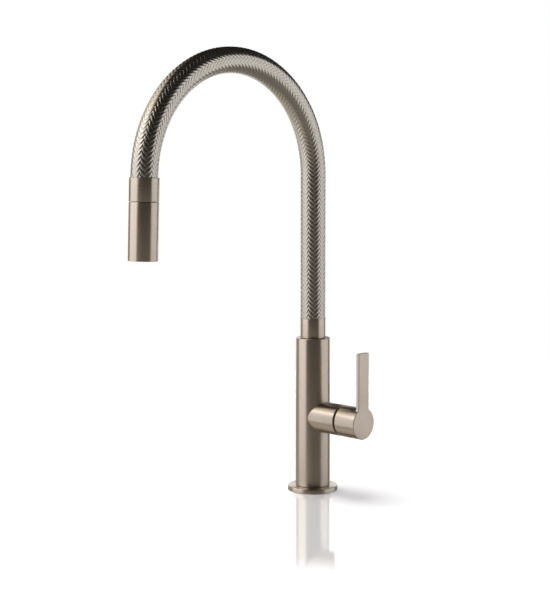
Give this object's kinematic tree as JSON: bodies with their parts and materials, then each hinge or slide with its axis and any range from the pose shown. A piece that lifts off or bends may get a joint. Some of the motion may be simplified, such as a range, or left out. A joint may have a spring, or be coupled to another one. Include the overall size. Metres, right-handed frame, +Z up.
{
  "type": "pull-down kitchen faucet",
  "caption": "Tall kitchen faucet with a side lever, a swivelling arched spout in braided metal and a pull-down spray head.",
  "frame": {"origin": "on the body's axis, in the plane of the deck under the base flange", "axes": "+Z up along the body, -Y towards the spray head, +X along the side valve towards the lever"},
  "size_m": [0.1025, 0.2875, 0.5496],
  "materials": {
    "brushed_nickel": "satin brushed nickel with a warm bronze tint",
    "braided_steel": "woven bands of fine round wire, satin, dark between the bands",
    "brass": "machined, uncoated",
    "stainless_steel": "plain turned stainless steel",
    "dark_steel": "blackened steel",
    "black_rubber": "moulded sealing rubber",
    "ceramic": "lapped ceramic",
    "white_plastic": "natural acetal",
    "grey_plastic": "glass-filled nylon",
    "hose_nylon": "tight nylon braid over a rubber hose"
  },
  "bodies": {
    "base": {"base_flange": "brushed_nickel", "base_gasket": "black_rubber", "body_column": "brushed_nickel", "mixing_core": "brass", "threaded_shank": "brass", "rubber_washer": "black_rubber", "clamp_washer": "stainless_steel", "mounting_nut": "brass", "hot_seal": "black_rubber", "cold_seal": "black_rubber", "outlet_seal": "black_rubber", "cartridge_base": "white_plastic", "fixed_ceramic_disc": "ceramic", "cartridge_housing": "grey_plastic", "cartridge_nut": "brass", "cartridge_cap": "dark_steel", "swivel_bushing": "white_plastic", "swivel_stop_screw": "stainless_steel", "body_hose": "hose_nylon", "hose_end_fitting": "brass"},
    "rotor": {"cartridge_rotor": "white_plastic", "stem_pin": "stainless_steel"},
    "moving_disc": {"moving_ceramic_disc": "ceramic", "disc_carrier": "white_plastic"},
    "handle": {"lever_handle": "brushed_nickel", "valve_stem": "stainless_steel", "handle_set_screw": "dark_steel", "handle_plug": "brushed_nickel"},
    "spout": {"spout_ferrule": "brushed_nickel", "lower_friction_ring": "black_rubber", "upper_friction_ring": "black_rubber", "braided_sleeve": "braided_steel", "arch_tube": "stainless_steel", "dock_collar": "brushed_nickel", "dock_guide": "grey_plastic", "dock_magnet": "dark_steel", "pull_out_hose": "hose_nylon"},
    "hose_end": {"hose_tail": "hose_nylon", "hose_fitting": "brass"},
    "head": {"head_shell": "brushed_nickel", "head_core": "white_plastic", "docking_ring": "stainless_steel", "head_washer": "black_rubber", "check_valve": "white_plastic", "flow_regulator": "white_plastic", "face_ring": "grey_plastic", "aerator": "stainless_steel"}
  },
  "joints": [
    {"name": "spout_swivel", "type": "hinge", "parent": "base", "child": "spout", "pos_m": [0, 0, 0.16], "axis": [0, 0, 1], "range_deg": [-75, 75]},
    {"name": "head_pull", "type": "slide", "parent": "spout", "child": "hose_end", "axis": [0, 0, -1], "range_m": [0, 0.25], "deforming": ["hose_tail"]},
    {"name": "head_swivel", "type": "hinge", "parent": "hose_end", "child": "head", "pos_m": [0, -0.24387, 0.30233], "axis": [0, -0.0305, -0.9995], "continuous": true},
    {"name": "handle_turn", "type": "hinge", "parent": "base", "child": "rotor", "pos_m": [0.03, 0, 0.0829], "axis": [1, 0, 0], "range_deg": [-45, 45]},
    {"name": "handle_lift", "type": "hinge", "parent": "rotor", "child": "handle", "pos_m": [0.0368, 0, 0.0829], "axis": [0, 1, 0], "range_deg": [0, 14]},
    {"name": "disc_slide", "type": "slide", "parent": "rotor", "child": "moving_disc", "axis": [0, 0, 1], "range_m": [0, 0.0048]}
  ],
  "couplings": [
    {"joint": "disc_slide", "follows": "handle_lift", "m_per_rad": 0.0194}
  ]
}
